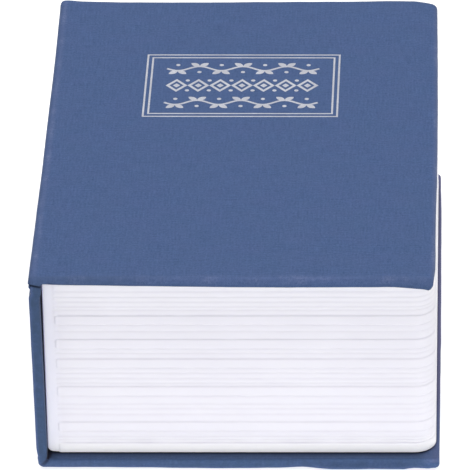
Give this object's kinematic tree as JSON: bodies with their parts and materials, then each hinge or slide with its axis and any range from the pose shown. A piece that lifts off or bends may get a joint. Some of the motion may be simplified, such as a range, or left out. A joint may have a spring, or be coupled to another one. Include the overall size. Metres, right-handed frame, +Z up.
{
  "type": "book diversion safe",
  "caption": "Book-shaped cash safe: a cloth case round a white page block that hides a steel tray, its hinged lid and a cam lock.",
  "frame": {"origin": "on the surface the safe lies on, under the middle of the closed case", "axes": "the safe lies on its back cover: +X from the spine to the fore-edge, +Y from the tail to the head, +Z up towards the front cover"},
  "size_m": [0.08, 0.115, 0.044],
  "materials": {
    "book_cloth": "dark blue book cloth with a fine weave",
    "greyboard": "bare grey bookbinding board",
    "endpaper": "plain off-white paper",
    "page_plastic": "white moulded plastic, semi-gloss",
    "black_steel": "black powder coat, fine texture",
    "bright_steel": "zinc-plated steel",
    "lock_chrome": "bright chrome plate"
  },
  "bodies": {
    "root": {"case_cloth": "book_cloth", "spine_board": "greyboard", "back_board": "greyboard", "spine_lining": "endpaper", "back_endpaper": "endpaper", "page_block": "page_plastic", "tray": "black_steel", "hinge_pin": "bright_steel", "tray_screw_1": "bright_steel", "tray_screw_2": "bright_steel", "tray_screw_3": "bright_steel", "tray_screw_4": "bright_steel"},
    "front_cover": {"front_cloth": "book_cloth", "front_board": "greyboard", "front_endpaper": "endpaper"},
    "lid": {"lid": "black_steel", "lock_barrel": "lock_chrome", "lock_washer": "bright_steel", "lock_nut": "bright_steel"},
    "lock_plug": {"lock_plug": "lock_chrome", "stop_washer": "bright_steel", "lock_cam": "bright_steel", "cam_washer": "bright_steel", "cam_screw": "bright_steel"}
  },
  "joints": [
    {"name": "cover_hinge", "type": "hinge", "parent": "root", "child": "front_cover", "pos_m": [-0.04015, 0, 0.04165], "axis": [0, -1, 0], "range_deg": [0, 180]},
    {"name": "lid_hinge", "type": "hinge", "parent": "root", "child": "lid", "pos_m": [-0.03, 0, 0.0396], "axis": [0, -1, 0], "range_deg": [0, 108]},
    {"name": "plug_turn", "type": "hinge", "parent": "lid", "child": "lock_plug", "pos_m": [0.0198, 0, 0.0386], "axis": [0, 0, -1], "range_deg": [0, 90]}
  ],
  "couplings": [
    {"joint": "lid_hinge", "follows": "cover_hinge", "ratio": 0.6}
  ]
}
